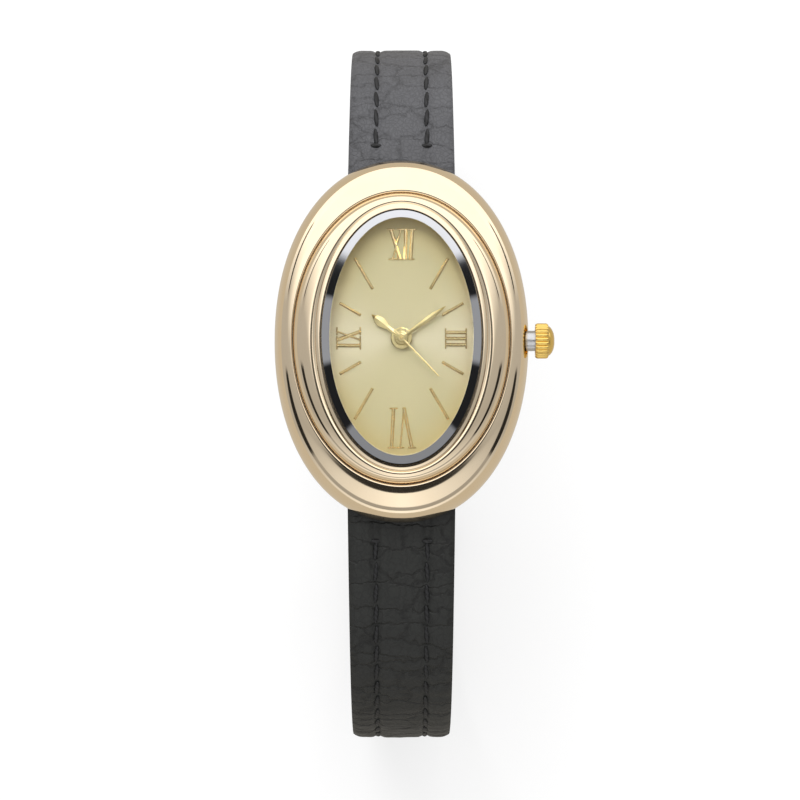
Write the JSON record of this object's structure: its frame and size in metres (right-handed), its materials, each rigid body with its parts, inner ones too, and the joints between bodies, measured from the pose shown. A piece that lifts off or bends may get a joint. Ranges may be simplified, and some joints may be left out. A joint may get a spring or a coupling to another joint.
{
  "type": "oval wristwatch",
  "caption": "Oval ladies' quartz wristwatch with a domed rose-gold case, champagne dial, ribbed crown and stitched leather strap with a pin buckle.",
  "frame": {"origin": "centre of the case back's outer face", "axes": "+Z out of the dial, +Y towards twelve o'clock, +X towards the crown"},
  "size_m": [0.0267, 0.0676, 0.0459],
  "materials": {
    "rose_gold": "mirror polished, rose gold plated",
    "yellow_gold": "polished, yellow gold plated",
    "hand_gold": "polished, pale gold plated",
    "steel": "fine brushed",
    "dial_champagne": "satin sunray",
    "mineral_glass": "clear, polished bevel",
    "brass_plate": "fine turned",
    "white_plastic": "moulded",
    "copper_coil": "enamelled wire",
    "green_board": "lacquered",
    "black_leather": "grained, semi-matt",
    "tan_lining": "smooth"
  },
  "bodies": {
    "head": {"case_body": "rose_gold", "bezel": "rose_gold", "crystal": "mineral_glass", "case_back": "steel", "dial": "dial_champagne", "dial_markers": "hand_gold", "dial_numerals": "hand_gold", "main_plate": "brass_plate", "train_bridge": "brass_plate", "movement_screws": "steel", "movement_holder": "white_plastic", "battery": "steel", "battery_clamp": "steel", "coil": "copper_coil", "stator": "steel", "circuit_board": "green_board", "quartz_can": "steel", "crown_tube": "steel"},
    "hour_hand_body": {"hour_wheel": "brass_plate", "hour_hand": "hand_gold"},
    "minute_hand_body": {"centre_wheel": "brass_plate", "minute_hand": "hand_gold"},
    "second_hand_body": {"second_wheel": "brass_plate", "second_hand": "hand_gold"},
    "third_wheel_body": {"third_wheel": "brass_plate"},
    "minute_wheel_body": {"minute_wheel": "brass_plate"},
    "step_wheel_body": {"step_wheel": "brass_plate"},
    "rotor_body": {"rotor": "brass_plate"},
    "clutch_body": {"clutch_pinion": "steel"},
    "crown_body": {"crown": "yellow_gold", "stem": "steel"},
    "setting_lever_body": {"setting_lever": "steel"},
    "strap_12": {"strap_12_leather": "black_leather", "strap_12_lining": "tan_lining", "fixed_keeper": "black_leather", "spring_bar_12_tube": "steel", "buckle_spring_bar_tube": "steel"},
    "strap_6": {"strap_6_leather": "black_leather", "strap_6_lining": "tan_lining", "spring_bar_6_tube": "steel"},
    "free_keeper_body": {"free_keeper": "black_leather"},
    "buckle": {"buckle_frame": "yellow_gold"},
    "tongue": {"buckle_tongue": "yellow_gold"},
    "spring_bar_12_left_pin_body": {"spring_bar_12_left_pin": "steel"},
    "spring_bar_12_right_pin_body": {"spring_bar_12_right_pin": "steel"},
    "spring_bar_6_left_pin_body": {"spring_bar_6_left_pin": "steel"},
    "spring_bar_6_right_pin_body": {"spring_bar_6_right_pin": "steel"},
    "buckle_spring_bar_left_pin_body": {"buckle_spring_bar_left_pin": "steel"},
    "buckle_spring_bar_right_pin_body": {"buckle_spring_bar_right_pin": "steel"}
  },
  "joints": [
    {"name": "second_hand_turn", "type": "hinge", "parent": "head", "child": "second_hand_body", "pos_m": [0, 0, 0.0021], "axis": [0, 0, -1], "continuous": true},
    {"name": "minute_hand_turn", "type": "hinge", "parent": "head", "child": "minute_hand_body", "pos_m": [0, 0, 0.003], "axis": [0, 0, -1], "continuous": true},
    {"name": "hour_hand_turn", "type": "hinge", "parent": "head", "child": "hour_hand_body", "pos_m": [0, 0, 0.0044], "axis": [0, 0, -1], "continuous": true},
    {"name": "third_wheel_turn", "type": "hinge", "parent": "head", "child": "third_wheel_body", "pos_m": [-0.00159, 0.00159, 0.0026], "axis": [0, 0, -1], "continuous": true},
    {"name": "minute_wheel_turn", "type": "hinge", "parent": "head", "child": "minute_wheel_body", "pos_m": [0.00145, -0.00084, 0.00405], "axis": [0, 0, -1], "continuous": true},
    {"name": "step_wheel_turn", "type": "hinge", "parent": "head", "child": "step_wheel_body", "pos_m": [0.00156, 0.0009, 0.00235], "axis": [0, 0, -1], "continuous": true},
    {"name": "rotor_turn", "type": "hinge", "parent": "head", "child": "rotor_body", "pos_m": [0.00185, 0.00255, 0.0027], "axis": [0, 0, -1], "continuous": true},
    {"name": "crown_turn", "type": "hinge", "parent": "head", "child": "clutch_body", "pos_m": [0, 0, 0.0032], "axis": [1, 0, 0], "continuous": true},
    {"name": "crown_pull", "type": "slide", "parent": "clutch_body", "child": "crown_body", "axis": [1, 0, 0], "range_m": [0, 0.0006]},
    {"name": "setting_lever_swing", "type": "hinge", "parent": "head", "child": "setting_lever_body", "pos_m": [0.0051, -0.00254, 0.0027], "axis": [0, 0, -1], "range_deg": [0, 16]},
    {"name": "strap_12_swing", "type": "hinge", "parent": "head", "child": "strap_12", "pos_m": [0, 0.01435, 0.0016], "axis": [1, 0, 0], "range_deg": [-4, 14]},
    {"name": "strap_6_swing", "type": "hinge", "parent": "head", "child": "strap_6", "pos_m": [0, -0.01435, 0.0016], "axis": [-1, 0, 0], "range_deg": [-4, 14]},
    {"name": "free_keeper_slide", "type": "slide", "parent": "strap_12", "child": "free_keeper_body", "axis": [0, -0.9978, 0.067], "range_m": [-0.001, 0.0014]},
    {"name": "buckle_swing", "type": "hinge", "parent": "strap_12", "child": "buckle", "pos_m": [0, 0.00378, -0.03382], "axis": [1, 0, 0], "range_deg": [-15, 35]},
    {"name": "tongue_swing", "type": "hinge", "parent": "buckle", "child": "tongue", "pos_m": [0, 0.00378, -0.03382], "axis": [1, 0, 0], "range_deg": [0, 60]},
    {"name": "spring_bar_12_left_pin_press", "type": "slide", "parent": "head", "child": "spring_bar_12_left_pin_body", "axis": [1, 0, 0], "range_m": [0, 0.00055], "stiffness_N_per_m": 500, "springref_m": -0.001},
    {"name": "spring_bar_12_right_pin_press", "type": "slide", "parent": "head", "child": "spring_bar_12_right_pin_body", "axis": [-1, 0, 0], "range_m": [0, 0.00055], "stiffness_N_per_m": 500, "springref_m": -0.001},
    {"name": "spring_bar_6_left_pin_press", "type": "slide", "parent": "head", "child": "spring_bar_6_left_pin_body", "axis": [1, 0, 0], "range_m": [0, 0.00055], "stiffness_N_per_m": 500, "springref_m": -0.001},
    {"name": "spring_bar_6_right_pin_press", "type": "slide", "parent": "head", "child": "spring_bar_6_right_pin_body", "axis": [-1, 0, 0], "range_m": [0, 0.00055], "stiffness_N_per_m": 500, "springref_m": -0.001},
    {"name": "buckle_spring_bar_left_pin_press", "type": "slide", "parent": "buckle", "child": "buckle_spring_bar_left_pin_body", "axis": [1, 0, 0], "range_m": [0, 0.00055], "stiffness_N_per_m": 500, "springref_m": -0.001},
    {"name": "buckle_spring_bar_right_pin_press", "type": "slide", "parent": "buckle", "child": "buckle_spring_bar_right_pin_body", "axis": [-1, 0, 0], "range_m": [0, 0.00055], "stiffness_N_per_m": 500, "springref_m": -0.001}
  ],
  "couplings": [
    {"joint": "third_wheel_turn", "follows": "second_hand_turn", "ratio": -0.13333},
    {"joint": "minute_hand_turn", "follows": "second_hand_turn", "ratio": 0.016667},
    {"joint": "minute_wheel_turn", "follows": "second_hand_turn", "ratio": -0.0055556},
    {"joint": "hour_hand_turn", "follows": "second_hand_turn", "ratio": 0.0013889},
    {"joint": "step_wheel_turn", "follows": "second_hand_turn", "ratio": -5},
    {"joint": "rotor_turn", "follows": "second_hand_turn", "ratio": 30},
    {"joint": "setting_lever_swing", "follows": "crown_pull", "rad_per_m": 454.55}
  ]
}
